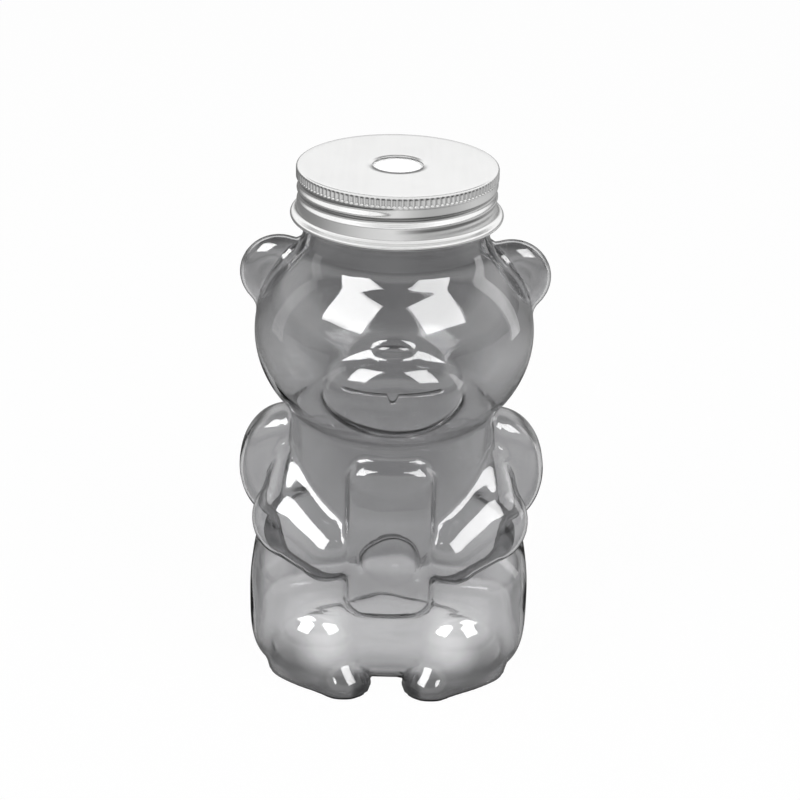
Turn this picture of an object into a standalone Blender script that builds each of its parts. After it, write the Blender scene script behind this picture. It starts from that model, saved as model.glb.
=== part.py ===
"""Clear bear-shaped bottle with a rolled aluminium screw lid and its foam liner.

The bottle stands on z = 0, its neck axis is the Z axis and the bear looks along -Y.
The lid turns on a short right-hand thread and rises with it, carrying the liner.
"""

import math

import bmesh
import bpy
import numpy as np

# Fits
RUNNING_GAP = 0.0003
WELD = 0.00001

# Bottle wall
WALL = 0.0009

# Hips and seat: a soft box on the standing ring
HIP_WIDTH = 0.0860
HIP_DEPTH = 0.0620
HIP_TOP = 0.0465
HIP_DROP = 0.0125
HIP_SQUARENESS = (3.4, 2.8)
SEAT_SQUARENESS = (3.8, 6.0)
HIP_BACK = 0.0035
SEAT_WIDTH = 0.0838
SEAT_DEPTH = 0.0610
SEAT_TOP = 0.0366
SEAT_DROP = 0.0026
HEEL_ROUND = 0.0020

# Underside
PUSH_UP_WIDTH = 0.0560
PUSH_UP_DEPTH = 0.0380
PUSH_UP_RISE = 0.0032

# Belly and chest
BELLY_RADII = (0.0340, 0.0330, 0.0340)
BELLY_HEIGHT = 0.0440
CHEST_RADII = (0.0300, 0.0285, 0.0260)
CHEST_ABOVE_BELLY = 0.0260
TRUNK_BACK = 0.0010

# Raised panel down the middle of the belly
PANEL_WIDTH = 0.0250
PANEL_TOP_ABOVE_BELLY = 0.0287
PANEL_DROP_BELOW_BELLY = 0.0197
PANEL_CORNER = 0.0060
PANEL_STAND_OUT = (0.0020, 0.0034, 0.0080)
PANEL_RISE = 0.0060
PANEL_LOWER_SHARE = 0.75
PANEL_EDGE = 0.0020

# Legs, each a round thigh over a foot that tapers from heel to toe
LEG_RADII = (0.0140, 0.0142, 0.0142)
LEG_PLACE = (0.0200, -0.0176, 0.0100)
LEG_FLATNESS = 2.2
HEEL_PLACE = (0.0250, -0.0170, 0.0002)
HEEL_RADIUS = 0.0100
TOE_PLACE = (0.0125, -0.0280, 0.0002)
TOE_RADIUS = 0.0082

# Arms: a round flat upper arm, and before it a limb from shoulder to elbow to paw.
# Their heights are above the middle of the belly.
ARM_RADII = (0.0140, 0.0084, 0.0178)
ARM_OUT = 0.0300
ARM_ABOVE_BELLY = 0.0146
ARM_FLATNESS = 3.6
SHOULDER_PLACE = (0.0270, -0.0085, 0.0195)
SHOULDER_RADIUS = 0.0072
ELBOW_PLACE = (0.0268, -0.0172, 0.0064)
ELBOW_RADIUS = 0.0128
PAW_PLACE = (0.0174, -0.0272, 0.0012)
PAW_RADIUS = 0.0094
FOREARM_FACE_SHARES = (0.28, -0.73, 0.62)
FOREARM_SQUASH_SHARE = 1.35

# Tail
TAIL_RADII = (0.0095, 0.0095, 0.0088)
TAIL_HEIGHT = 0.0062
TAIL_BURIED = 0.0010

# Head, snout, nose and ears
HEAD_RADII = (0.0393, 0.0383, 0.0332)
HEAD_ABOVE_CHEST = 0.0313
SNOUT_RADII = (0.0198, 0.0148, 0.0133)
SNOUT_FLATNESS = 2.5
SNOUT_FORWARD = 0.0295
SNOUT_DROP = 0.0040
NOSE_RADII = (0.0052, 0.0024, 0.0022)
NOSE_FORWARD = 0.0077
NOSE_RISE = 0.0132
EAR_RADII = (0.0112, 0.0055, 0.0110)
EAR_OUT = 0.0323
EAR_RISE = 0.0157
EAR_BACK = 0.0020

# How softly neighbouring lobes run together
SOFT_CHEST = 0.0080
SOFT_HIP = 0.0070
SOFT_SEAT = 0.0030
SOFT_LIMB = 0.0040
SOFT_LEG = 0.0010
SOFT_ELBOW = 0.0020
SOFT_ARM = 0.0022
SOFT_PANEL = 0.0012
SOFT_TAIL = 0.0020
SOFT_HEAD = 0.0016
SOFT_SNOUT = 0.0016
SOFT_NOSE = 0.0012
SOFT_EAR = 0.0025
SOFT_NECK = 0.0030

# Neck finish
NECK_RADIUS = 0.0258
NECK_BELOW_HEAD_TOP = 0.0110
NECK_HEIGHT = 0.0243
LIP_ROUND = 0.0006

# Thread
LEAD = 0.0032
RIDGE_HEIGHT = 0.0008
RIDGE_HALF_WIDTH = 0.0008
GROOVE_HALF_WIDTH = 0.0013
RIDGE_TOP_BELOW_LIP = 0.00165
RIDGE_ANGLE = math.radians(250)
GROOVE_ANGLE = math.radians(695)
THREAD_FADE = math.radians(38)
THREAD_UPPER_END = math.radians(-102)
RIDGE_LAG = math.radians(120)

# Lid: thin rolled sheet
SHEET = 0.0004
LID_HOLE_RADIUS = 0.0071
LID_CORNER = 0.0007
KNURL_BAND = 0.0024
KNURL_STEP = 0.00015
BORE_EASE = 0.00025
SKIRT_RINGS = 15
LID_HEIGHT = 0.0146
RIM_CURL_RADIUS = 0.00085
RIM_STAND_OUT = 0.0018
CURL_ANGLE = math.radians(215)

# Liner
LINER_THICKNESS = 0.0010

# Facets
BOTTLE_SEGMENTS = 160
BOTTLE_RINGS = 150
SKIN_TRIANGLES = 5000
LID_SEGMENTS = 64
LINER_SEGMENTS = 48
FINE_LEVELS = 480
FINE_ANGLES = 360
SCAN_STEPS = 90
HALVINGS = 18

# Places worked out from the sizes above
CHEST_Z = BELLY_HEIGHT + CHEST_ABOVE_BELLY
HEAD_Z = CHEST_Z + HEAD_ABOVE_CHEST
HEAD_TOP = HEAD_Z + HEAD_RADII[2]
NECK_FOOT = HEAD_TOP - NECK_BELOW_HEAD_TOP
LIP_Z = NECK_FOOT + NECK_HEIGHT
LINER_Z = LIP_Z + RUNNING_GAP
LID_TOP = LINER_Z + LINER_THICKNESS + RUNNING_GAP + SHEET
LID_BORE = NECK_RADIUS + RIDGE_HEIGHT + RUNNING_GAP + BORE_EASE
SKIRT_RADIUS = LID_BORE + SHEET
GROOVE_DEPTH = LID_BORE - NECK_RADIUS - RUNNING_GAP
RIDGE_UPPER_Z = LIP_Z - RIDGE_TOP_BELOW_LIP
GROOVE_UPPER_Z = RIDGE_UPPER_Z - LEAD / 2 + LEAD * RIDGE_LAG / math.tau


def fresh_scene():
    for obj in list(bpy.data.objects):
        bpy.data.objects.remove(obj, do_unlink=True)
    for mesh in list(bpy.data.meshes):
        bpy.data.meshes.remove(mesh)


def collection(name):
    made = bpy.data.collections.new(name)
    bpy.context.scene.collection.children.link(made)
    return made


def material(name, colour, roughness, metallic, transmission=0.0, ior=1.5):
    made = bpy.data.materials.new(name)
    made.use_nodes = True
    shader = made.node_tree.nodes["Principled BSDF"]
    shader.inputs["Base Color"].default_value = (*colour, 1)
    shader.inputs["Roughness"].default_value = roughness
    shader.inputs["Metallic"].default_value = metallic
    shader.inputs["Transmission Weight"].default_value = transmission
    shader.inputs["IOR"].default_value = ior
    made.diffuse_color = (*colour, 1)
    return made


def settled(obj):
    """The object's mesh as its modifiers leave it."""
    bpy.context.view_layer.update()
    graph = bpy.context.evaluated_depsgraph_get()
    return bpy.data.meshes.new_from_object(obj.evaluated_get(graph))


def smooth(mesh, degrees):
    mesh.shade_smooth()
    mesh.set_sharp_from_angle(angle=math.radians(degrees))


# The bear's skin as one field: below zero inside, and lobes blended where they meet.
def blend(a, b, softness):
    mix = np.clip(0.5 + 0.5 * (b - a) / softness, 0, 1)
    return b * (1 - mix) + a * mix - softness * mix * (1 - mix)


def within(a, b, softness):
    return -blend(-a, -b, softness)


def lobe(x, y, z, place, radii):
    dx, dy, dz = x - place[0], y - place[1], z - place[2]
    size = np.sqrt((dx / radii[0]) ** 2 + (dy / radii[1]) ** 2 + (dz / radii[2]) ** 2)
    slope = np.sqrt(
        (dx / radii[0] ** 2) ** 2
        + (dy / radii[1] ** 2) ** 2
        + (dz / radii[2] ** 2) ** 2
    )
    return size * (size - 1) / np.maximum(slope, 1e-9 / radii[0])


def soft_box(x, y, z, width, depth, top, drop, squareness):
    middle = (top - drop) / 2
    px = np.abs(x) / (width / 2)
    py = np.abs(y - HIP_BACK) / (depth / 2)
    pz = np.abs(z - middle) / ((top + drop) / 2)
    size = (px**squareness[0] + py**squareness[0]) ** (squareness[1] / squareness[0])
    size = (size + pz ** squareness[1]) ** (1 / squareness[1])
    return (size - 1) * min(width, depth, top + drop) / 2


def disc(x, y, z, place, radii, flatness):
    """A lobe that is round seen from the front and flatter towards the front."""
    dx = (x - place[0]) / radii[0]
    dy = (y - place[1]) / radii[1]
    dz = (z - place[2]) / radii[2]
    size = np.hypot(dx, dz) ** flatness + np.abs(dy) ** flatness
    return (size ** (1 / flatness) - 1) * min(radii)


def limb(x, y, z, start, start_radius, end, end_radius, squash_share=1.0):
    """A tapering round limb, or one that is squashed along the forearm's face."""
    run = np.subtract(end, start)
    dx, dy, dz = x - start[0], y - start[1], z - start[2]
    along = np.clip((dx * run[0] + dy * run[1] + dz * run[2]) / (run @ run), 0, 1)
    dx, dy, dz = dx - along * run[0], dy - along * run[1], dz - along * run[2]
    face = FOREARM_FACE_SHARES
    out = dx * face[0] + dy * face[1] + dz * face[2]
    away = np.sqrt(dx**2 + dy**2 + dz**2 + (squash_share**2 - 1) * out**2)
    return away - start_radius - (end_radius - start_radius) * along


def upright_plate(x, z, width, low, high, corner):
    qx = np.abs(x) - width / 2 + corner
    qz = np.abs(z - (low + high) / 2) - (high - low) / 2 + corner
    outside = np.sqrt(np.maximum(qx, 0) ** 2 + np.maximum(qz, 0) ** 2)
    return outside + np.minimum(np.maximum(qx, qz), 0) - corner


def skin(x, y, z):
    side = np.abs(x)
    belly_place = (0, TRUNK_BACK, BELLY_HEIGHT)
    field = lobe(x, y, z, belly_place, BELLY_RADII)
    chest = lobe(x, y, z, (0, TRUNK_BACK, CHEST_Z), CHEST_RADII)
    field = blend(field, chest, SOFT_CHEST)

    hips = soft_box(
        x, y, z, HIP_WIDTH, HIP_DEPTH, HIP_TOP, HIP_DROP, HIP_SQUARENESS
    )
    seat = soft_box(
        x, y, z, SEAT_WIDTH, SEAT_DEPTH, SEAT_TOP, SEAT_DROP, SEAT_SQUARENESS
    )
    field = blend(field, within(hips, seat, SOFT_SEAT), SOFT_HIP)

    leg = disc(side, y, z, LEG_PLACE, LEG_RADII, LEG_FLATNESS)
    foot = limb(side, y, z, HEEL_PLACE, HEEL_RADIUS, TOE_PLACE, TOE_RADIUS)
    field = blend(field, blend(leg, foot, SOFT_LIMB), SOFT_LEG)

    arm_place = (ARM_OUT, 0, BELLY_HEIGHT + ARM_ABOVE_BELLY)
    upper_arm = disc(side, y, z, arm_place, ARM_RADII, ARM_FLATNESS)
    above_belly = z - BELLY_HEIGHT
    stretch = (side, y, above_belly, SHOULDER_PLACE, SHOULDER_RADIUS, ELBOW_PLACE, ELBOW_RADIUS)
    over = limb(*stretch, FOREARM_SQUASH_SHARE)
    stretch = (side, y, above_belly, ELBOW_PLACE, ELBOW_RADIUS, PAW_PLACE, PAW_RADIUS)
    forearm = limb(*stretch, FOREARM_SQUASH_SHARE)
    arm = blend(upper_arm, np.minimum(over, forearm), SOFT_ELBOW)
    field = blend(field, arm, SOFT_ARM)

    panel_place = (0, TRUNK_BACK, BELLY_HEIGHT + PANEL_RISE)
    below = np.minimum(z - panel_place[2], 0)
    swell = lobe(
        x,
        y,
        z - below * (1 - PANEL_LOWER_SHARE),
        panel_place,
        tuple(r + out for r, out in zip(BELLY_RADII, PANEL_STAND_OUT)),
    )
    outline = upright_plate(
        x,
        z,
        PANEL_WIDTH,
        BELLY_HEIGHT - PANEL_DROP_BELOW_BELLY,
        BELLY_HEIGHT + PANEL_TOP_ABOVE_BELLY,
        PANEL_CORNER,
    )
    front_only = np.maximum(outline, y)
    field = blend(field, within(swell, front_only, PANEL_EDGE), SOFT_PANEL)

    tail_y = HIP_BACK + HIP_DEPTH / 2 - TAIL_BURIED
    field = blend(
        field, lobe(x, y, z, (0, tail_y, TAIL_HEIGHT), TAIL_RADII), SOFT_TAIL
    )

    head = lobe(x, y, z, (0, 0, HEAD_Z), HEAD_RADII)
    field = blend(field, head, SOFT_HEAD)
    snout_place = (0, -SNOUT_FORWARD, HEAD_Z - SNOUT_DROP)
    snout = disc(x, y, z, snout_place, SNOUT_RADII, SNOUT_FLATNESS)
    field = blend(field, snout, SOFT_SNOUT)
    nose_place = (0, snout_place[1] - NOSE_FORWARD, snout_place[2] + NOSE_RISE)
    field = blend(field, lobe(x, y, z, nose_place, NOSE_RADII), SOFT_NOSE)
    ear = lobe(side, y, z, (EAR_OUT, EAR_BACK, HEAD_Z + EAR_RISE), EAR_RADII)
    field = blend(field, ear, SOFT_EAR)

    neck = np.maximum(np.hypot(x, y) - NECK_RADIUS, HEAD_Z - z)
    field = blend(field, neck, SOFT_NECK)
    return within(field, -z, HEEL_ROUND)


def reach(angles, levels):
    """Distance from the neck axis to the skin, for each angle and level."""
    c, s = np.cos(angles)[:, None], np.sin(angles)[:, None]
    z = np.broadcast_to(levels[None, :], (len(angles), len(levels)))
    far = (HIP_WIDTH + HIP_DEPTH) / 2
    outer = np.full(z.shape, far)
    step = far / SCAN_STEPS
    for _ in range(SCAN_STEPS):
        clear = (skin(outer * c, outer * s, z) > 0) & (outer > 2 * step)
        outer = np.where(clear, outer - step, outer)
    low, high = outer, outer + step
    for _ in range(HALVINGS):
        middle = (low + high) / 2
        inside = skin(middle * c, middle * s, z) < 0
        low, high = np.where(inside, middle, low), np.where(inside, high, middle)
    return (low + high) / 2


def crowded(values, weights, count):
    """As many values as asked, closest together where the weights are largest."""
    total = np.concatenate(([0], np.cumsum((weights[1:] + weights[:-1]) / 2)))
    return np.interp(np.linspace(0, total[-1], count), total, values)


def spread_rings():
    """Levels from the heel to the foot of the neck, crowded where the skin turns."""
    levels = np.linspace(0, LIP_Z - NECK_HEIGHT / 2, FINE_LEVELS)
    around = np.linspace(-math.pi, math.pi, FINE_ANGLES, endpoint=False)
    out = reach(around, levels)
    rise = levels[1] - levels[0]
    slope = np.gradient(out, rise, axis=1)
    turn = np.abs(np.gradient(np.arctan(slope), rise, axis=1))
    length = np.sqrt(1 + slope**2)
    weights = length.mean(axis=0) + 0.25 * length.max(axis=0)
    weights += 2.2 * turn.mean(axis=0) * WALL * 8
    return levels, crowded(levels, weights, BOTTLE_RINGS)


def spread_angles(levels):
    """Angles down the bear's left side, crowded where the skin turns."""
    half = np.linspace(-math.pi / 2, math.pi / 2, FINE_ANGLES // 2 + 1)
    out = reach(half, levels)
    turn = np.abs(np.gradient(np.gradient(out, half, axis=0), half, axis=0)) / out
    sharpest = np.sort(turn, axis=1)[:, -len(levels) // 3 :].mean(axis=1)
    weights = 1 + 0.35 * np.minimum(sharpest, 4)
    return crowded(half, weights, BOTTLE_SEGMENTS // 2 + 1)


def row_faces(bm, rows, closed):
    count = len(rows[0])
    for lower, upper in zip(rows, rows[1:]):
        for i in range(count if closed else count - 1):
            j = (i + 1) % count
            bm.faces.new((lower[i], lower[j], upper[j], upper[i]))


def bottle_half():
    """Half a loft through the bear's level sections, open at the mouth."""
    levels, chosen = spread_rings()
    angles = spread_angles(levels[:: max(1, FINE_LEVELS // 60)])
    out = reach(angles, chosen)
    c, s = np.cos(angles), np.sin(angles)
    c[0] = c[-1] = 0
    bm = bmesh.new()
    rows = []

    def row(radii, z, back=0.0):
        rows.append(
            [bm.verts.new((r * x, r * y + back, z)) for r, x, y in zip(radii, c, s)]
        )

    well = 1 / np.hypot(c / (PUSH_UP_WIDTH / 2), s / (PUSH_UP_DEPTH / 2))
    for i in range(1, 13):
        share = i / 12
        rise = PUSH_UP_RISE * (1 - share**6) * math.cos(share**6 * math.pi / 2)
        row(well * share, rise, HIP_BACK)
    for i, level in enumerate(chosen):
        row(out[:, i], level)
    for i in range(1, 7):
        low = chosen[-1]
        row(np.full(len(angles), NECK_RADIUS), low + (LIP_Z - LIP_ROUND - low) * i / 6)
    row(np.full(len(angles), NECK_RADIUS - LIP_ROUND), LIP_Z)
    row_faces(bm, rows, closed=False)
    centre = bm.verts.new((0, HIP_BACK, PUSH_UP_RISE))
    for first, second in zip(rows[0], rows[0][1:]):
        bm.faces.new((centre, second, first))
    mesh = bpy.data.meshes.new("bear_bottle")
    bm.to_mesh(mesh)
    bm.free()
    return mesh


def neck_ridge():
    """The bottle's thread: a half-buried bead that climbs to the right."""
    curve = bpy.data.curves.new("neck_ridge", "CURVE")
    curve.dimensions = "3D"
    curve.bevel_depth = RIDGE_HALF_WIDTH
    curve.bevel_resolution = 1
    curve.use_fill_caps = True
    spline = curve.splines.new("POLY")
    count = 30
    spline.points.add(count - 1)
    start = THREAD_UPPER_END - RIDGE_LAG - RIDGE_ANGLE
    buried = RIDGE_HALF_WIDTH - RIDGE_HEIGHT
    for i, point in enumerate(spline.points):
        share = i / (count - 1)
        angle = start + RIDGE_ANGLE * share
        fade = min(1, min(share, 1 - share) * RIDGE_ANGLE / THREAD_FADE)
        radius = NECK_RADIUS - buried - RIDGE_HEIGHT * 0.7 * (1 - fade)
        z = RIDGE_UPPER_Z - LEAD * (1 - share) * RIDGE_ANGLE / math.tau
        point.co = (radius * math.cos(angle), radius * math.sin(angle), z, 1)
    return curve


def groove_at(angle, z):
    """How deep the lid's rolled thread is at this angle and level."""
    deepest = 0.0
    back = (THREAD_UPPER_END - angle) % math.tau
    while back < GROOVE_ANGLE:
        centre = GROOVE_UPPER_Z - LEAD * back / math.tau
        across = min(1, abs(z - centre) / GROOVE_HALF_WIDTH)
        end = min(back, GROOVE_ANGLE - back) / THREAD_FADE
        fade = math.sin(min(1, end) * math.pi / 2)
        deepest = max(deepest, fade * 0.5 * (1 + math.cos(math.pi * across)))
        back += math.tau
    return GROOVE_DEPTH * deepest


def lid_profile():
    """Radius and drop from the lid's top face, from the hole to the end of the curl."""
    points = [(LID_HOLE_RADIUS, 0.0)]
    for i in range(4):
        a = math.pi / 2 * i / 3
        points.append(
            (
                SKIRT_RADIUS + KNURL_STEP - LID_CORNER * (1 - math.sin(a)),
                LID_CORNER * (1 - math.cos(a)),
            )
        )
    plain = SKIRT_RADIUS
    points.append((plain + KNURL_STEP, LID_CORNER + KNURL_BAND))
    first = LID_CORNER + KNURL_BAND + KNURL_STEP
    curl_middle = LID_HEIGHT - RIM_CURL_RADIUS
    curl_centre = plain + RIM_STAND_OUT - RIM_CURL_RADIUS
    last = curl_middle - 2 * RIM_CURL_RADIUS
    for i in range(SKIRT_RINGS + 1):
        points.append((plain, first + (last - first) * i / SKIRT_RINGS))
    points.append(
        (plain + (curl_centre - plain) * 0.35, curl_middle - 1.35 * RIM_CURL_RADIUS)
    )
    for i in range(6):
        a = CURL_ANGLE * i / 5
        points.append(
            (
                curl_centre + RIM_CURL_RADIUS * math.sin(a),
                curl_middle - RIM_CURL_RADIUS * math.cos(a),
            )
        )
    return points


def lid_sheet():
    """The lid's outer skin: a turned profile with the thread rolled into it."""
    bm = bmesh.new()
    rings = []
    for radius, drop in lid_profile():
        row = []
        for i in range(LID_SEGMENTS):
            a = math.tau * i / LID_SEGMENTS
            z = LID_TOP - drop
            r = radius
            if LID_CORNER + KNURL_BAND < drop < LID_HEIGHT - 3 * RIM_CURL_RADIUS:
                r = radius - groove_at(a, z)
            row.append(bm.verts.new((r * math.cos(a), r * math.sin(a), z)))
        rings.append(row)
    row_faces(bm, rings, closed=True)
    bmesh.ops.reverse_faces(bm, faces=bm.faces)
    mesh = bpy.data.meshes.new("lid_shell")
    bm.to_mesh(mesh)
    bm.free()
    return mesh


def main():
    fresh_scene()
    parts = collection("bear_shaped_storage_bottle")
    cutters = collection("joining_shapes")

    clear = material("clear_plastic", (0.80, 0.81, 0.82), 0.03, 0.0, 1.0, 1.57)
    aluminium = material("rolled_aluminium", (0.80, 0.80, 0.80), 0.28, 1.0)
    foam = material("white_foam", (0.88, 0.88, 0.87), 0.75, 0.0)

    bottle = bpy.data.objects.new("bear_bottle", bottle_half())
    parts.objects.link(bottle)
    mirror = bottle.modifiers.new("other_side", "MIRROR")
    mirror.use_axis = (True, False, False)
    mirror.merge_threshold = WELD
    thin = bottle.modifiers.new("fewer_faces", "DECIMATE")
    thin.ratio = SKIN_TRIANGLES / (4 * len(bottle.data.polygons))
    thin.use_symmetry = True
    thin.symmetry_axis = "X"
    bottle.data = settled(bottle)
    bottle.modifiers.clear()
    for vert in bottle.data.vertices:
        if vert.co.z < WALL / 3:
            vert.co.z = 0
    bottle.data.materials.append(clear)
    wall = bottle.modifiers.new("wall", "SOLIDIFY")
    wall.thickness = WALL
    wall.offset = -1
    wall.use_even_offset = False

    ridge_curve = bpy.data.objects.new("ridge_curve", neck_ridge())
    cutters.objects.link(ridge_curve)
    ridge_mesh = settled(ridge_curve)
    bm = bmesh.new()
    bm.from_mesh(ridge_mesh)
    bmesh.ops.remove_doubles(bm, verts=bm.verts, dist=WELD)
    bmesh.ops.recalc_face_normals(bm, faces=bm.faces)
    bm.to_mesh(ridge_mesh)
    bm.free()
    ridge = bpy.data.objects.new("neck_ridge", ridge_mesh)
    ridge.matrix_world = ridge_curve.matrix_world
    cutters.objects.link(ridge)
    bpy.data.objects.remove(ridge_curve)
    ridge.hide_render = True
    ridge.display_type = "WIRE"
    join = bottle.modifiers.new("ridge", "BOOLEAN")
    join.operation = "UNION"
    join.solver = "EXACT"
    join.object = ridge
    smooth(bottle.data, 50)

    lid_axis = bpy.data.objects.new("lid_axis", None)
    lid_axis.location = (0, 0, LIP_Z)
    parts.objects.link(lid_axis)
    bpy.context.view_layer.update()

    lid = bpy.data.objects.new("lid_shell", lid_sheet())
    lid.data.transform(lid_axis.matrix_world.inverted())
    lid.parent = lid_axis
    parts.objects.link(lid)
    lid.data.materials.append(aluminium)
    sheet = lid.modifiers.new("sheet", "SOLIDIFY")
    sheet.thickness = SHEET
    sheet.offset = -1
    sheet.use_even_offset = False
    smooth(lid.data, 40)

    bpy.ops.mesh.primitive_cylinder_add(
        vertices=LINER_SEGMENTS,
        radius=LID_BORE - RUNNING_GAP,
        depth=LINER_THICKNESS,
        location=(0, 0, LINER_Z + LINER_THICKNESS / 2),
    )
    liner = bpy.context.object
    liner.name = "lid_liner"
    liner.data.name = "lid_liner"
    for holder in list(liner.users_collection):
        holder.objects.unlink(liner)
    parts.objects.link(liner)
    liner.data.materials.append(foam)
    smooth(liner.data, 40)


main()
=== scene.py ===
"""Looks of the clear bear bottle with its rolled aluminium screw lid.

The bottle stands on z = 0 with its neck axis on Z, and the bear looks along -Y.
"""

import math

import bmesh
import bpy
import numpy as np
from mathutils import Matrix, Vector


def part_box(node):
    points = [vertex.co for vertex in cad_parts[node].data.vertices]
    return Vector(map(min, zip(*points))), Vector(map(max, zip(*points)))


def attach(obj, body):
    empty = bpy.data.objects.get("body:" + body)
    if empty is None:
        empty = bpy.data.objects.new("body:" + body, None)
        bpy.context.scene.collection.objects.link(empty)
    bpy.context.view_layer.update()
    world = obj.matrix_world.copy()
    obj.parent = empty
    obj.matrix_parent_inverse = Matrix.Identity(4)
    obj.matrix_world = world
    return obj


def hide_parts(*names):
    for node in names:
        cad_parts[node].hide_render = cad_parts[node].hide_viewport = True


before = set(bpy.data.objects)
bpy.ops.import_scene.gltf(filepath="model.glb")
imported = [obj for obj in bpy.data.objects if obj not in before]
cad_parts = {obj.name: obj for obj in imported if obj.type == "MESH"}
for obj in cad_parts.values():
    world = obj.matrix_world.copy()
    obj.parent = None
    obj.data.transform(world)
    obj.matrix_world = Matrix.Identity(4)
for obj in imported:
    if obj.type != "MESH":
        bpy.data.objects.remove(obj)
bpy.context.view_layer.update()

# Bear bottle: one thin shell of clear plastic whose grey is painted shade, blown into a
# two-part mould, with the head, ears, arms, legs and tail as hollow lobes of the same wall. Its neck
# is
# moulded solid first, so it is round and true and carries the thread for the lid.
lip_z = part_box("bear_bottle")[1].z
wall = 0.0009
shell_facet = 0.00118
neck_radius = 0.0258
neck_cut_z = lip_z - 0.0150
lip_round = 0.0003
heel_round = 0.0020

belly_z = 0.0440
chest_z = 0.0700
head_z = 0.1013
belly = ((0, 0.0010, belly_z), (0.0340, 0.0330, 0.0340))
chest = ((0, 0.0010, chest_z), (0.0300, 0.0285, 0.0260))
head = ((0, 0, head_z), (0.0393, 0.0383, 0.0332))
snout = ((0, -0.0295, head_z - 0.0040), (0.0198, 0.0148, 0.0133))
snout_flatness = 2.5
nose = ((0, -0.0370, head_z + 0.0092), (0.0050, 0.0017, 0.0020))
ear = ((0.0323, 0.0020, head_z + 0.0157), (0.0112, 0.0055, 0.0110))
ear_dish = ((0.0340, -0.0052, head_z + 0.0157), (0.0072, 0.0040, 0.0070))
leg = ((0.0200, -0.0176, 0.0100), (0.0140, 0.0142, 0.0142))
leg_flatness = 2.2
heel, heel_radius = (0.0250, -0.0170, 0.0002), 0.0100
toe, toe_radius = (0.0125, -0.0280, 0.0002), 0.0082
upper_arm = ((0.0300, 0.0000, belly_z + 0.0146), (0.0140, 0.0084, 0.0178))
arm_flatness = 3.6
shoulder, shoulder_radius = (0.0270, -0.0085, belly_z + 0.0195), 0.0072
elbow, elbow_radius = (0.0268, -0.0172, belly_z + 0.0064), 0.0128
paw, paw_radius = (0.0174, -0.0272, belly_z + 0.0012), 0.0094
arm_face, arm_squash = (0.28, -0.73, 0.62), 1.35
tail = ((0, 0.0335, 0.0062), (0.0095, 0.0095, 0.0088))

hip_back = 0.0035
hip_size = (0.0860, 0.0620)
hip_span = (-0.0125, 0.0465)
hip_squareness = (3.4, 2.8)
seat_size = (0.0838, 0.0610)
seat_span = (-0.0026, 0.0366)
seat_squareness = (3.8, 6.0)
push_up_size = (0.0560, 0.0380)
push_up_rise = 0.0032
push_up_squareness = 6

panel_width = 0.0250
panel_span = (belly_z - 0.0197, belly_z + 0.0287)
panel_corner = 0.0060
panel_rise = 0.0060
panel_stretch = 0.75
panel_stand_out = (0.0020, 0.0034, 0.0080)
panel_edge = 0.0028

waist_crease, seat_crease, hip_crease = 0.0080, 0.0030, 0.0070
ankle_crease, leg_crease = 0.0040, 0.0010
shoulder_crease, arm_crease = 0.0020, 0.0022
panel_crease, tail_crease = 0.0012, 0.0020
head_crease, snout_crease, nose_crease = 0.0016, 0.0016, 0.0012
dish_crease, ear_crease, neck_crease = 0.0012, 0.0025, 0.0030

thread_lead = 0.0032
ridge_height = 0.0008
ridge_half_width = 0.0008
ridge_spread = 1.25
ridge_upper_z = lip_z - 0.00165
ridge_angle = math.radians(250)
ridge_start = math.radians(-222)
thread_fade = math.radians(25)


def blend(a, b, softness):
    """Joins two forms with a soft crease."""
    mix = np.clip(0.5 + 0.5 * (b - a) / softness, 0, 1)
    return b * (1 - mix) + a * mix - softness * mix * (1 - mix)


def within(a, b, softness):
    """What two forms share, with a soft edge."""
    return -blend(-a, -b, softness)


def lobe(x, y, z, place_and_radii):
    """A form that is an ellipsoid."""
    place, radii = place_and_radii
    away = [(value - at) / r for value, at, r in zip((x, y, z), place, radii)]
    size = np.sqrt(sum(d**2 for d in away))
    slope = np.sqrt(sum((d / r) ** 2 for d, r in zip(away, radii)))
    return size * (size - 1) / np.maximum(slope, 1e-9)


def disc(x, y, z, place_and_radii, flatness):
    """A lobe that is round seen from the front and has a flatter face to the front."""
    place, radii = place_and_radii
    dx, dy, dz = [(value - at) / r for value, at, r in zip((x, y, z), place, radii)]
    size = (np.hypot(dx, dz) ** flatness + np.abs(dy) ** flatness) ** (1 / flatness)
    return (size - 1) * min(radii)


def soft_box(x, y, z, size, span, squareness):
    """A box with full, rounded sides, wide across and flat behind."""
    across, upright = squareness
    reach = np.abs(x / size[0] * 2) ** across + np.abs((y - hip_back) / size[1] * 2) ** across
    height = span[1] - span[0]
    level = np.abs((z - sum(span) / 2) / height * 2)
    measure = (reach ** (upright / across) + level**upright) ** (1 / upright)
    return (measure - 1) * min(*size, height) / 2


def limb(x, y, z, start, start_radius, end, end_radius, squash=1.0):
    """A tapering round limb, or one that is flatter towards arm_face."""
    run = np.subtract(end, start)
    dx, dy, dz = x - start[0], y - start[1], z - start[2]
    along = np.clip((dx * run[0] + dy * run[1] + dz * run[2]) / (run @ run), 0, 1)
    dx, dy, dz = dx - along * run[0], dy - along * run[1], dz - along * run[2]
    out = dx * arm_face[0] + dy * arm_face[1] + dz * arm_face[2]
    away = np.sqrt(dx**2 + dy**2 + dz**2 + (squash**2 - 1) * out**2)
    return away - start_radius - (end_radius - start_radius) * along


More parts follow.
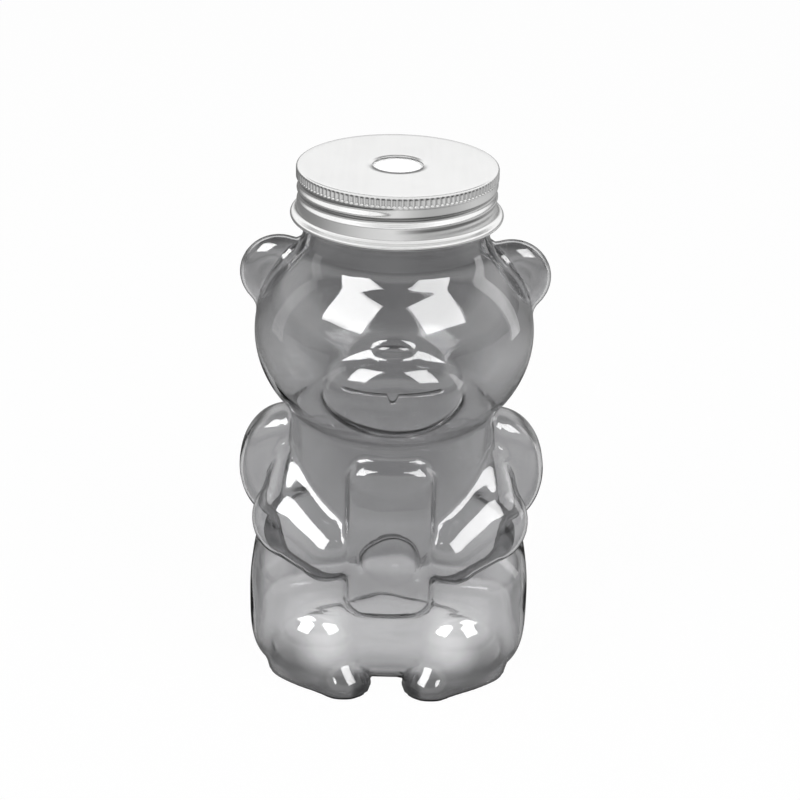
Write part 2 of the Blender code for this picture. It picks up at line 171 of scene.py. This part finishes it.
def front_panel(x, y, z):
    """The raised plain panel on the belly, a swollen slab with round corners."""
    place, radii = belly
    raised = np.add(place, (0, 0, panel_rise))
    below = np.minimum(z - raised[2], 0)
    fuller = (raised, np.add(radii, panel_stand_out))
    swell = lobe(x, y, z - below * (1 - panel_stretch), fuller)
    qx = np.abs(x) - panel_width / 2 + panel_corner
    qz = np.abs(z - sum(panel_span) / 2) - (panel_span[1] - panel_span[0]) / 2 + panel_corner
    outline = np.hypot(np.maximum(qx, 0), np.maximum(qz, 0)) + np.minimum(np.maximum(qx, qz), 0)
    return within(swell, np.maximum(outline - panel_corner, y), panel_edge)


def bear_skin(points):
    """Below zero inside the bear, above zero outside, for an array of points."""
    x, y, z = points.T
    side = np.abs(x)
    field = blend(lobe(x, y, z, belly), lobe(x, y, z, chest), waist_crease)
    hips = soft_box(x, y, z, hip_size, hip_span, hip_squareness)
    seat = soft_box(x, y, z, seat_size, seat_span, seat_squareness)
    field = blend(field, within(hips, seat, seat_crease), hip_crease)
    foot = limb(side, y, z, heel, heel_radius, toe, toe_radius)
    leg_and_foot = blend(disc(side, y, z, leg, leg_flatness), foot, ankle_crease)
    field = blend(field, leg_and_foot, leg_crease)
    over = limb(side, y, z, shoulder, shoulder_radius, elbow, elbow_radius, arm_squash)
    fore = limb(side, y, z, elbow, elbow_radius, paw, paw_radius, arm_squash)
    arm = blend(disc(side, y, z, upper_arm, arm_flatness), np.minimum(over, fore), shoulder_crease)
    field = blend(field, arm, arm_crease)
    field = blend(field, front_panel(x, y, z), panel_crease)
    field = blend(field, lobe(x, y, z, tail), tail_crease)
    field = blend(field, lobe(x, y, z, head), head_crease)
    field = blend(field, disc(x, y, z, snout, snout_flatness), snout_crease)
    field = blend(field, lobe(x, y, z, nose), nose_crease)
    hollow_ear = within(lobe(side, y, z, ear), -lobe(side, y, z, ear_dish), dish_crease)
    field = blend(field, hollow_ear, ear_crease)
    neck = np.maximum(np.hypot(x, y) - neck_radius, head_z - z)
    field = blend(field, neck, neck_crease)
    out = np.hypot(x / push_up_size[0] * 2, (y - hip_back) / push_up_size[1] * 2)
    well = push_up_rise * np.clip(1 - out**push_up_squareness, 0, 1)
    well = well * np.cos(np.minimum(out, 1) ** push_up_squareness * math.pi / 2)
    return within(field, well - z, heel_round)


def reach(angles, levels):
    """Distance from the neck axis to the skin, found from outside inwards."""
    inward_steps, halvings = 60, 10
    far = sum(hip_size) / 2
    heading = np.stack([np.cos(angles), np.sin(angles)], axis=1)
    outer = np.full(len(angles), far)

    def field_at(radii):
        return bear_skin(np.column_stack([heading * radii[:, None], levels]))

    step = far / inward_steps
    for _ in range(inward_steps - 3):
        outer = np.where(field_at(outer) > 0, outer - step, outer)
    low, high = outer, outer + step
    for _ in range(halvings):
        middle = (low + high) / 2
        inside = field_at(middle) < 0
        low, high = np.where(inside, middle, low), np.where(inside, high, middle)
    return (low + high) / 2


def onto_skin(points, times):
    """Moves points along the field's slope until they lie on the skin."""
    small = wall / 50
    flattest = 0.05
    for _ in range(times):
        slope = np.empty_like(points)
        for axis in range(3):
            shift = np.zeros(3)
            shift[axis] = small
            slope[:, axis] = (bear_skin(points + shift) - bear_skin(points - shift)) / (2 * small)
        steep = np.maximum((slope**2).sum(axis=1), flattest)
        move = np.clip(bear_skin(points) / steep, -wall, wall)
        points = points - slope * move[:, None]
    return points


def read_points(mesh):
    flat = np.empty(len(mesh.vertices) * 3)
    mesh.vertices.foreach_get("co", flat)
    return flat.reshape(-1, 3)


def as_they_end(piece):
    """Gives a piece the mesh that its modifiers leave, and clears them."""
    bpy.context.view_layer.update()
    shown = piece.evaluated_get(bpy.context.evaluated_depsgraph_get())
    piece.data = bpy.data.meshes.new_from_object(shown)
    piece.modifiers.clear()


def new_piece(name, bm):
    mesh = bpy.data.meshes.new(name)
    bm.to_mesh(mesh)
    bm.free()
    piece = bpy.data.objects.new(name, mesh)
    bpy.context.scene.collection.objects.link(piece)
    return piece


columns, rows = 168, 140
wrap_top_z = neck_cut_z + 0.0060
bm = bmesh.new()
bmesh.ops.create_grid(bm, x_segments=columns, y_segments=rows, size=1.0)
flat = np.array([v.co for v in bm.verts])
angles = flat[:, 0] * math.pi
levels = (flat[:, 1] + 1) / 2 * wrap_top_z
radii = reach(angles, np.maximum(levels, wall / 10))
for vert, angle, radius, level in zip(bm.verts, angles, radii, levels):
    vert.co = (radius * math.cos(angle), radius * math.sin(angle), level)
bmesh.ops.remove_doubles(bm, verts=bm.verts, dist=wall / 100)
bmesh.ops.holes_fill(bm, edges=[e for e in bm.edges if e.is_boundary], sides=0)
bmesh.ops.recalc_face_normals(bm, faces=bm.faces)
bottle = new_piece("bear_bottle_shell", bm)
remesh = bottle.modifiers.new("even_facets", "REMESH")
remesh.mode = "VOXEL"
remesh.voxel_size = shell_facet
as_they_end(bottle)

bm = bmesh.new()
bm.from_mesh(bottle.data)
bmesh.ops.bisect_plane(
    bm,
    geom=bm.verts[:] + bm.edges[:] + bm.faces[:],
    plane_co=(0, 0, neck_cut_z),
    plane_no=(0, 0, 1),
    clear_outer=True,
    dist=wall / 50,
)
settling_rounds = 3
for _ in range(settling_rounds):
    free = [v for v in bm.verts if v.co.z < neck_cut_z - shell_facet]
    all_ways = {"use_axis_x": True, "use_axis_y": True, "use_axis_z": True}
    bmesh.ops.smooth_vert(bm, verts=free, factor=0.5, **all_ways)
    settled = onto_skin(np.array([v.co for v in free]), 3)
    for vert, point in zip(free, settled):
        vert.co = point


def helix_depth(angle, z, half_width, upper_z, start, run, lower_fade=thread_fade):
    """Share of full height of a bead that climbs to the right round the neck."""
    deepest = 0.0
    back = (start - angle) % math.tau
    while back < run:
        centre = upper_z - thread_lead * back / math.tau
        across = min(1, abs(z - centre) / half_width)
        end = min(back / thread_fade, (run - back) / lower_fade)
        fade = math.sin(min(1, end) * math.pi / 2)
        deepest = max(deepest, fade * 0.5 * (1 + math.cos(math.pi * across)))
        back += math.tau
    return deepest


rim = [e for e in bm.edges if e.is_boundary]
for vert in {v for e in rim for v in e.verts}:
    around = vert.co.xy.normalized() * neck_radius
    vert.co = (around.x, around.y, neck_cut_z)
neck_rings = 38
ridge = (ridge_spread * ridge_half_width, ridge_upper_z, ridge_start, ridge_angle)
for i in range(1, neck_rings + 1):
    z = neck_cut_z + (lip_z - lip_round - neck_cut_z) * i / neck_rings
    made = bmesh.ops.extrude_edge_only(bm, edges=rim)["geom"]
    rim = [e for e in made if isinstance(e, bmesh.types.BMEdge)]
    for vert in (v for v in made if isinstance(v, bmesh.types.BMVert)):
        angle = math.atan2(vert.co.y, vert.co.x)
        radius = neck_radius + ridge_height * helix_depth(angle, z, *ridge)
        vert.co = (radius * math.cos(angle), radius * math.sin(angle), z)
made = bmesh.ops.extrude_edge_only(bm, edges=rim)["geom"]
for vert in (v for v in made if isinstance(v, bmesh.types.BMVert)):
    around = vert.co.xy.normalized() * (neck_radius - lip_round)
    vert.co = (around.x, around.y, lip_z)
bmesh.ops.recalc_face_normals(bm, faces=bm.faces)
bm.to_mesh(bottle.data)
bm.free()
bottle.data.shade_smooth()


def thicken(piece, name, depth):
    """Adds an inner face to a single skin, and the edges that join the two."""
    thickness = piece.modifiers.new(name, "SOLIDIFY")
    thickness.thickness = depth
    thickness.offset = -1
    thickness.use_even_offset = False
    as_they_end(piece)


outside = read_points(bottle.data)
thicken(bottle, "wall", wall)
both = read_points(bottle.data)
inside = both[len(outside) :]
hollow = inside[: len(outside)] - outside
unevenness = 0.16
ripples_up, ripples_across, ripple_sway = 190, 120, 1.3
ripples_around, ripple_slant = 3, 60
ripple_fade = 0.01
x, y, z = outside.T
uneven = np.sin(z * ripples_up + np.sin(x * ripples_across) * ripple_sway)
uneven = uneven * np.cos(np.arctan2(y, x) * ripples_around + z * ripple_slant)
uneven = uneven * np.clip((neck_cut_z - z) / ripple_fade, 0, 1)
inside[: len(outside)] = outside + hollow * (1 + unevenness * uneven)[:, None]
bottle.data.vertices.foreach_set("co", both.ravel())
bottle.data.update()


class Value:
    """A shader socket that takes part in sums, and adds the nodes that they need."""

    def __init__(self, tree, socket=None):
        self.tree = tree
        self.socket = socket

    def node(self, kind, settings=None, **sockets):
        """A new node. A socket goes by its title, or as i0, i1 by its number."""
        made = self.tree.nodes.new(kind)
        for name, setting in (settings or {}).items():
            if name == "stops":
                ramp = made.color_ramp
                while len(ramp.elements) < len(setting):
                    ramp.elements.new(1.0)
                for stop, (place, level) in zip(ramp.elements, setting):
                    stop.position = place
                    stop.color = (level, level, level, 1)
            else:
                setattr(made, name, setting)
        for name, value in sockets.items():
            title = name.replace("_", " ")
            socket = made.inputs[int(title[1:])] if title[1:].isdigit() else made.inputs[title]
            if isinstance(value, Value):
                self.tree.links.new(value.socket, socket)
            else:
                socket.default_value = value
        return made

    def value(self, kind, settings=None, output=0, **sockets):
        """One output of a new node, ready for sums."""
        return Value(self.tree, self.node(kind, settings, **sockets).outputs[output])

    def worked_out(self, operation, *values):
        named = {f"i{i}": value for i, value in enumerate(values)}
        return self.value("ShaderNodeMath", {"operation": operation}, **named)

    def math(self, operation, *others):
        return self.worked_out(operation, self, *others)

    def __add__(self, other):
        return self.math("ADD", other)

    def __radd__(self, other):
        return self.math("ADD", other)

    def __sub__(self, other):
        return self.math("SUBTRACT", other)

    def __rsub__(self, other):
        return self.worked_out("SUBTRACT", other, self)

    def __mul__(self, other):
        return self.math("MULTIPLY", other)

    def __rmul__(self, other):
        return self.math("MULTIPLY", other)

    def __truediv__(self, other):
        return self.math("DIVIDE", other)

    def __neg__(self):
        return self.math("MULTIPLY", -1.0)


class Finish:
    """A material with its Principled shader, and its object coordinates at hand."""

    def __init__(self, name, **sockets):
        self.material = bpy.data.materials.new(name)
        self.material.use_nodes = True
        self.tree = self.material.node_tree
        self.shader = self.tree.nodes["Principled BSDF"]
        for title, value in sockets.items():
            self.shader.inputs[title.replace("_", " ")].default_value = value
        self.material.diffuse_color = sockets["Base_Color"]
        self.start = Value(self.tree)
        self.place = self.start.value("ShaderNodeTexCoord", output="Object")
        parts = self.start.node("ShaderNodeSeparateXYZ", Vector=self.place).outputs
        self.x, self.y, self.z = (Value(self.tree, part) for part in parts)

    def noise(self, scale, detail, vector=None):
        where = vector or self.place
        return self.start.value("ShaderNodeTexNoise", Vector=where, Scale=scale, Detail=detail)

    def stretched(self, x, y, z):
        return self.start.value("ShaderNodeMapping", Vector=self.place, Scale=(x, y, z))

    def feed(self, title, value):
        self.tree.links.new(value.socket, self.shader.inputs[title])

    def relief(self, height, distance):
        bump = self.start.value("ShaderNodeBump", Height=height, Distance=distance)
        self.feed("Normal", bump)
        return bump

    def grey(self, red, green, blue):
        mixed = self.start.value("ShaderNodeCombineColor", i0=red, i1=green, i2=blue)
        self.feed("Base Color", mixed)

    def dress(self, piece):
        piece.data.materials.clear()
        piece.data.materials.append(self.material)


plastic = Finish(
    "clear_plastic_with_painted_shade",
    Base_Color=(0.74, 0.745, 0.755, 1),
    Roughness=0.015,
    IOR=1.50,
    Transmission_Weight=1.0,
)
to_side = plastic.x.math("ABSOLUTE")

mouth_z = 0.1007
mouth_half_width = 0.0135
mouth_curve = 3.0
mouth_line = 0.00028
mouth_fade = 0.001
mouth_front_y = -0.036
notch_drop = 0.0020
notch_half_width = 0.0016
bow = plastic.x * plastic.x * mouth_curve
in_notch = plastic.x / notch_half_width
notch = (1.0 - in_notch * in_notch).math("MAXIMUM", 0.0)
off_line = (plastic.z - mouth_z - bow + notch * notch_drop) / mouth_line
line = (-(off_line * off_line)).math("EXPONENT")
ends = ((mouth_half_width - to_side) / mouth_fade).math("MINIMUM", 1.0).math("MAXIMUM", 0.0)
mouth = line * ends * plastic.y.math("LESS_THAN", mouth_front_y)

eased = {"interpolation_type": "SMOOTHSTEP"}


def share_between(value, start, end):
    """Rises smoothly from 0 to 1 while a value goes from start to end."""
    return plastic.start.value("ShaderNodeMapRange", eased, Value=value, From_Min=start, From_Max=end)


# Painted light and shade in the plastic's grey: darker overall, as dark surroundings seen through it
# would make it, lighter on the head, towards the sides, in the lap, thighs, feet and underside, and
# darker between the feet.
body_painted_grey, head_painted_grey = 0.460, 0.503
side_painted_light, side_head_painted_light = 0.605, 0.050
lap_painted_light, thigh_painted_light, foot_painted_light = 0.15, 0.24, 0.28
underside_painted_light = 0.95
between_feet_painted_shade = 0.50
blue_gain = 0.006
sides = share_between(to_side, 0.012, 0.036)
upper = share_between(plastic.z, 0.080, 0.088)
before = 1.0 - share_between(plastic.y, -0.023, -0.019)
lap = share_between(plastic.z, 0.006, 0.014) * (1.0 - share_between(plastic.z, 0.020, 0.040))
thigh = lap * share_between(to_side, 0.009, 0.018) * before
low = (1.0 - share_between(plastic.z, 0.005, 0.008)) * before
between_feet = low * (1.0 - share_between(to_side, 0.0085, 0.0105))
underside = 1.0 - share_between(plastic.z, 0.004, 0.006)
underside = underside * share_between(plastic.y, -0.030, -0.025)
painted_grey = body_painted_grey + upper * (head_painted_grey - body_painted_grey)
painted_grey = painted_grey + lap * lap_painted_light + thigh * thigh_painted_light + low * foot_painted_light
painted_grey = painted_grey + (side_painted_light + upper * side_head_painted_light - painted_grey) * sides
painted_grey = painted_grey + (underside_painted_light - painted_grey) * underside
painted_grey = painted_grey * (1.0 - between_feet * between_feet_painted_shade)
plastic.grey(painted_grey, painted_grey, painted_grey + blue_gain)
waves = plastic.noise(70.0, 1.0)
bump = plastic.relief(waves * 0.30 - mouth * 0.32, 0.001)
# Painted shade: a near-black glass is mixed in where the surface turns away from view, darkening
# outlines and creases.
painted_dark_edge = plastic.start.value(
    "ShaderNodeBsdfPrincipled",
    Base_Color=(0.02, 0.02, 0.022, 1),
    Roughness=0.02,
    IOR=1.12,
    Transmission_Weight=1.0,
    Normal=bump,
)
facing = plastic.start.value("ShaderNodeLayerWeight", output="Facing", Blend=0.5, Normal=bump)
turned_away = facing.math("POWER", 5.0) * 0.95
clear = Value(plastic.tree, plastic.shader.outputs[0])
mixed = plastic.start.value("ShaderNodeMixShader", i0=turned_away, i1=clear, i2=painted_dark_edge)
end = plastic.tree.nodes["Material Output"]
plastic.tree.links.new(mixed.socket, end.inputs["Surface"])
plastic.dress(bottle)
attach(bottle, "bottle")
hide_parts("bear_bottle")

# Lid: thin aluminium sheet pressed to a cap, its upper band knurled for grip, the
# thread rolled into the skirt from outside, and the raw edge rolled outwards into a
# rim. A round hole is punched in the middle of the top.
lid_top_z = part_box("lid_shell")[1].z
lid_height = 0.0146
sheet = 0.0004
hole_radius = 0.0069
hole_edge = 0.00012
hole_turn_down = 0.6
lid_corner = 0.0007
corner_steps = 5
skirt_radius = 0.02755
skirt_row = 0.00030
knurl_count = 120
knurl_facets = 6
knurl_depth = 0.00050
knurl_span = (0.00045, 0.0031)
knurl_ease = 0.0005
knurl_squareness = 0.6
knurl_shade = 0.20
band_stand_out = 0.00015
band_ease = 0.0002
groove_half_width = 0.0016
groove_depth = 0.00075
groove_start = math.radians(-90)
groove_start_z = lid_top_z - 0.00407
groove_angle = math.radians(722)
groove_lower_fade = math.radians(170)
groove_shade = 0.90
shade_reach = 0.55
streak_reach, streak_share = 0.16, 0.55
curl_radius = 0.00085
curl_angle = math.radians(215)
curl_steps = 12
curl_approach = ((0.12, 1.75), (0.38, 1.32))
rim_stand_out = 0.0018

outline = [(hole_radius, sheet * hole_turn_down), (hole_radius, hole_edge)]
outline.append((hole_radius + hole_edge, 0.0))
for share in (0.1, 0.3, 0.5, 0.7, 0.9):
    outline.append((hole_radius + (skirt_radius - hole_radius) * share, 0.0))
for i in range(corner_steps + 1):
    turn = math.pi / 2 * i / corner_steps
    radius = skirt_radius + band_stand_out - lid_corner * (1 - math.sin(turn))
    outline.append((radius, lid_corner * (1 - math.cos(turn))))
drop = lid_corner
skirt_end = lid_height - curl_radius * 3
while drop < skirt_end:
    drop += skirt_row
    below_band = min(1, max(0, (drop - knurl_span[1]) / band_ease))
    outline.append((skirt_radius + band_stand_out * (1 - below_band), drop))
curl_middle = lid_height - curl_radius
curl_centre = skirt_radius + rim_stand_out - curl_radius
for outward, above in curl_approach:
    radius = skirt_radius + (curl_centre - skirt_radius) * outward
    outline.append((radius, curl_middle - above * curl_radius))
for i in range(curl_steps + 1):
    turn = curl_angle * i / curl_steps
    radius = curl_centre + curl_radius * math.sin(turn)
    outline.append((radius, curl_middle - curl_radius * math.cos(turn)))

bm = bmesh.new()
verts = [bm.verts.new((radius, 0, lid_top_z - drop)) for radius, drop in outline]
edges = [bm.edges.new(pair) for pair in zip(verts, verts[1:])]
bmesh.ops.spin(
    bm,
    geom=verts + edges,
    cent=(0, 0, 0),
    axis=(0, 0, 1),
    angle=math.tau,
    steps=knurl_count * knurl_facets,
    use_merge=True,
)
# Painted shade per point, read by the metal's colour: darker in the knurl slots and along the
# down-facing flank of the rolled groove, with a lighter painted line left in the middle of that band.
shade_layer = bm.verts.layers.float.new("shade")
groove = (groove_start_z, groove_start, groove_angle)
for vert in bm.verts:
    drop = lid_top_z - vert.co.z
    angle = math.atan2(vert.co.y, vert.co.x)
    radius = vert.co.xy.length
    if radius < skirt_radius - 2 * lid_corner:
        continue
    ends = min(drop - knurl_span[0], knurl_span[1] - drop) / knurl_ease
    if ends > 0:
        slot = 0.5 * (1 - math.cos(angle * knurl_count))
        radius -= knurl_depth * slot**knurl_squareness * min(1, ends)
        vert[shade_layer] = knurl_shade * slot * min(1, ends)
    if knurl_span[1] < drop < skirt_end:
        rolled = helix_depth(angle, vert.co.z, groove_half_width, *groove, groove_lower_fade)
        flank_z = vert.co.z - groove_half_width / 2
        under = helix_depth(angle, flank_z, groove_half_width * shade_reach, *groove)
        streak = helix_depth(angle, flank_z, groove_half_width * streak_reach, *groove)
        vert[shade_layer] = groove_shade * (under - streak_share * streak)
        radius -= groove_depth * rolled
    vert.co = (radius * math.cos(angle), radius * math.sin(angle), vert.co.z)
bmesh.ops.recalc_face_normals(bm, faces=bm.faces)
lid = new_piece("lid_cap", bm)
lid.data.shade_smooth()
thicken(lid, "sheet", sheet)

metal_tone = 0.88
hole_edge_shade_loss = 0.62
warmth = 0.995
aluminium = Finish(
    "satin_aluminium",
    Base_Color=(metal_tone, metal_tone, 0.875, 1),
    Roughness=0.28,
    Metallic=1.0,
)
brushed = aluminium.noise(900.0, 2.0, aluminium.stretched(1.0, 0.04, 1.0))
grain = aluminium.noise(6000.0, 2.0)
cloudy = aluminium.noise(90.0, 3.0)
from_axis = (aluminium.x * aluminium.x + aluminium.y * aluminium.y).math("SQRT")
# Painted shade: the wall of the punched hole is darkened in colour.
painted_hole_edge_shade = from_axis.math("LESS_THAN", hole_radius + hole_edge * 0.15)
shade = aluminium.start.value("ShaderNodeAttribute", {"attribute_name": "shade"}, "Fac")
metal = (metal_tone - painted_hole_edge_shade * hole_edge_shade_loss) * (1.0 - shade)
aluminium.grey(metal, metal, metal * warmth)
aluminium.feed("Roughness", 0.14 + cloudy * 0.10 + brushed * 0.06)
aluminium.relief(brushed * 0.6 + grain * 0.4, 0.00002)
aluminium.dress(lid)
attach(lid, "lid")
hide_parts("lid_shell")

# Liner: a round disc of white pressed foam that lies loose in the lid and seals on
# the bottle's lip. Its middle shows through the hole in the lid.
liner_low, liner_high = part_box("lid_liner")
liner_edge = 0.00015
bm = bmesh.new()
bmesh.ops.create_circle(bm, cap_ends=True, cap_tris=False, segments=128, radius=liner_high.x)
bmesh.ops.translate(bm, verts=bm.verts, vec=(0, 0, liner_low.z))
solid = bmesh.ops.extrude_face_region(bm, geom=bm.faces[:])["geom"]
upper_rim = [v for v in solid if isinstance(v, bmesh.types.BMVert)]
bmesh.ops.translate(bm, verts=upper_rim, vec=(0, 0, liner_high.z - liner_low.z))
bmesh.ops.recalc_face_normals(bm, faces=bm.faces)
bmesh.ops.bevel(
    bm,
    geom=[e for e in bm.edges if len(e.link_faces) == 2 and e.calc_face_angle() > 1],
    offset=liner_edge,
    offset_type="OFFSET",
    segments=2,
    profile=0.5,
    affect="EDGES",
    material=-1,
)
liner = new_piece("foam_liner", bm)
liner.data.shade_smooth()
liner.data.set_sharp_from_angle(angle=math.radians(50))
foam = Finish("white_pressed_foam", Base_Color=(0.76, 0.76, 0.76, 1), Roughness=0.75)
pores = foam.noise(3500.0, 2.0)
foam.relief(pores, 0.00006)
foam.dress(liner)
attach(liner, "liner")
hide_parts("lid_liner")

# Stage: a pale floor that runs far back, so that it is also the background. It glows white,
# with a faint shadow under the bottle. What shows of it through the plastic is painted dimmer
# with distance and has a painted contact shadow round the bottle's footprint, and what shines
# in the lid is painted dimmer near the bottle and at some bearings.
floor_size = 14.0
floor_drop = 0.0002
bm = bmesh.new()
bmesh.ops.create_grid(bm, x_segments=1, y_segments=1, size=floor_size / 2)
bmesh.ops.translate(bm, verts=bm.verts, vec=(0, 0, -floor_drop))
floor = new_piece("studio_floor", bm)
pale = bpy.data.materials.new("pale_floor")
pale.use_nodes = True
tree = pale.node_tree
tree.nodes.clear()
base = Value(tree)
path = base.node("ShaderNodeLightPath").outputs
direct = Value(tree, path["Is Camera Ray"])
refracted = Value(tree, path["Is Transmission Ray"])
seen = direct.math("MAXIMUM", Value(tree, path["Is Glossy Ray"]).math("MAXIMUM", refracted))
spot = base.value("ShaderNodeTexCoord", output="Object")
parts = base.node("ShaderNodeSeparateXYZ", Vector=spot).outputs
across, along = Value(tree, parts["X"]), Value(tree, parts["Y"])

squeezed = base.value("ShaderNodeMapping", Vector=spot, Scale=(0.25, 1.0, 1.0))
length = {"operation": "LENGTH"}
depth = base.value("ShaderNodeVectorMath", length, "Value", i0=squeezed)
deep = {"From_Min": 0.05, "From_Max": 0.50, "To_Min": 1.0, "To_Max": 0.22}
through = base.value("ShaderNodeMapRange", eased, Value=depth, **deep)
# Painted contact shadow: through the plastic the floor shows darker in a ring round the bottle's
# footprint, less so towards the back.
contact_stops = [(0.0, 0.95), (0.26, 0.85), (0.34, 0.22), (0.50, 0.15), (0.56, 0.95)]
contact_half_depth = 0.036
wide = across / (seat_size[0] / 2)
long = along / contact_half_depth
wide, long = wide * wide, long * long
from_middle = (wide * wide + long * long).math("POWER", 0.25)
painted_contact_shadow = base.value("ShaderNodeValToRGB", {"stops": contact_stops}, Fac=from_middle / 2.0)
to_back = {"From_Min": -0.02, "From_Max": 0.01, "To_Min": 0.0, "To_Max": 0.75}
behind = base.value("ShaderNodeMapRange", eased, Value=along, **to_back)
through = through * (painted_contact_shadow + (1.0 - painted_contact_shadow) * behind)

# Painted reflection for the lid: the floor it shows is dimmer near the bottle, and by bearing
# brightest at the front and dimmer towards the sides and back, so the skirt shows light and dark
# bands.
away = base.value("ShaderNodeVectorMath", length, "Value", i0=spot)
outward = {"From_Min": 0.10, "From_Max": 0.30, "To_Min": 0.10, "To_Max": 1.0}
shiny = base.value("ShaderNodeMapRange", eased, Value=away, **outward)
around_stops = [
    (0.0, 0.20),
    (0.144, 0.22),
    (0.233, 0.28),
    (0.322, 0.48),
    (0.411, 0.72),
    (0.50, 0.82),
    (0.545, 0.62),
    (0.589, 0.46),
    (0.678, 0.50),
    (0.767, 0.66),
    (0.856, 0.60),
    (0.944, 0.34),
    (1.0, 0.20),
]
bearing = across.math("ARCTAN2", -along)
around = base.value("ShaderNodeValToRGB", {"stops": around_stops}, Fac=bearing / math.tau + 0.5)
shiny = shiny * around

shadow_share = 0.03
pool = shiny + (through - shiny) * refracted
level = pool + (1.0 - pool) * direct
glow = base.value("ShaderNodeEmission", Color=(1, 1, 1, 1), Strength=level)
dull = base.value("ShaderNodeBsdfDiffuse", Color=(0.85, 0.85, 0.85, 1))
mixed = base.value("ShaderNodeMixShader", i0=seen * (1.0 - shadow_share), i1=dull, i2=glow)
end = base.node("ShaderNodeOutputMaterial")
tree.links.new(mixed.socket, end.inputs["Surface"])
floor.data.materials.append(pale)

# Light: a plain pale room, two window-like soft lamps high at the front whose shapes
# show in the plastic, a broad ceiling lamp for the lid and its liner, and a tall dim
# strip low on either side for the plastic.
room = bpy.data.worlds.new("pale_room")
bpy.context.scene.world = room
room.use_nodes = True
tree = room.node_tree
tree.nodes.clear()
base = Value(tree)
direct = base.value("ShaderNodeLightPath", output="Is Camera Ray")
heading = base.value("ShaderNodeTexCoord", output="Generated")
upward = base.value("ShaderNodeSeparateXYZ", output="Z", Vector=heading)
room_stops = [(0.0, 0.12), (0.16, 0.50), (0.24, 1.0), (0.50, 1.15), (0.66, 0.12), (1.0, 0.08)]
level = base.value("ShaderNodeValToRGB", {"stops": room_stops}, Fac=upward)
strength = level + (1.0 - level) * direct
back = base.value("ShaderNodeBackground", Color=(1, 1, 1, 1), Strength=strength)
end = base.node("ShaderNodeOutputWorld")
tree.links.new(back.socket, end.inputs["Surface"])


def lit_pieces(name, *pieces):
    group = bpy.data.collections.new(name)
    for piece in pieces:
        group.objects.link(piece)
    return group


def area_lamp(name, width, height, energy, lit):
    """A soft lamp for some pieces alone, which the camera does not see."""
    lamp = bpy.data.lights.new(name, "AREA")
    lamp.shape = "RECTANGLE"
    lamp.size = width
    lamp.size_y = height
    lamp.energy = energy
    holder = bpy.data.objects.new(name, lamp)
    bpy.context.scene.collection.objects.link(holder)
    holder.visible_camera = False
    holder.light_linking.receiver_collection = lit
    return holder


shines_on_plastic = lit_pieces("pieces_with_window_glints", bottle)
all_but_lid = lit_pieces("pieces_lit_by_windows", bottle, liner, floor)
under_ceiling = lit_pieces("pieces_lit_by_ceiling", lid, liner)

window_width, window_height = 0.60, 0.56
window_aim = Vector((0, -0.02, 0.085))
window_bearing, window_rise = math.radians(48), math.radians(45)
fill_distance, glint_distance = 1.0, 0.97
fill_energy = 5.0
for side, hand, glint_energy in (("left", -1, 9.0), ("right", 1, 5.5)):
    level_run = math.cos(window_rise)
    turned = hand * window_bearing
    away = Vector((math.sin(turned) * level_run, -math.cos(turned) * level_run, math.sin(window_rise)))
    turn = away.to_track_quat("Z", "Y").to_matrix().to_4x4()
    for use, energy, distance, lit in (
        ("fill", fill_energy, fill_distance, all_but_lid),
        ("glint", glint_energy, glint_distance, shines_on_plastic),
    ):
        holder = area_lamp(f"{side}_{use}_lamp", window_width, window_height, energy, lit)
        holder.matrix_world = Matrix.Translation(window_aim + away * distance) @ turn
        holder.visible_diffuse = use == "fill"

ceiling_width, ceiling_depth = 3.0, 2.0
holder = area_lamp("ceiling_lamp", ceiling_width, ceiling_depth, 15.0, under_ceiling)
holder.location = (0, -0.2, 1.2)

strip_width, strip_height = 0.16, 0.60
strip_distance, strip_lift = 0.60, 0.01
for side, bearing, energy in (("left", -104, 0.16), ("right", 112, 0.50)):
    holder = area_lamp(f"{side}_strip_lamp", strip_width, strip_height, energy, shines_on_plastic)
    turned = math.radians(bearing)
    away = Vector((math.sin(turned), -math.cos(turned), 0))
    turn = away.to_track_quat("Z", "Y").to_matrix().to_4x4()
    above_floor = Vector((0, 0, strip_height / 2 + strip_lift))
    holder.matrix_world = Matrix.Translation(away * strip_distance + above_floor) @ turn

# Camera: a 90 mm lens half a metre away that looks down at the bottle from the front,
# very slightly rolled, with the bottle a little left of the middle of the picture.
image_width = 800
lens_share = 2.5
camera_distance = 0.520
camera_height = 0.3205
look_down = math.radians(24.9)
roll = math.radians(1.3)
centre_shift = 7.35
eye = bpy.data.cameras.new("photo_view")
eye.sensor_width = 36.0
eye.lens = eye.sensor_width * lens_share
eye.shift_x = centre_shift / image_width
camera = bpy.data.objects.new("photo_view", eye)
bpy.context.scene.collection.objects.link(camera)
forward = Vector((0, math.cos(look_down), -math.sin(look_down)))
right = Vector((1, 0, 0))
up = right.cross(forward)
turned_right = right * math.cos(roll) + up * math.sin(roll)
turned_up = up * math.cos(roll) - right * math.sin(roll)
axes = Matrix((turned_right, turned_up, -forward)).transposed()
camera.matrix_world = Matrix.Translation((0, -camera_distance, camera_height)) @ axes.to_4x4()
bpy.context.scene.camera = camera
bpy.context.scene.view_settings.view_transform = "Standard"
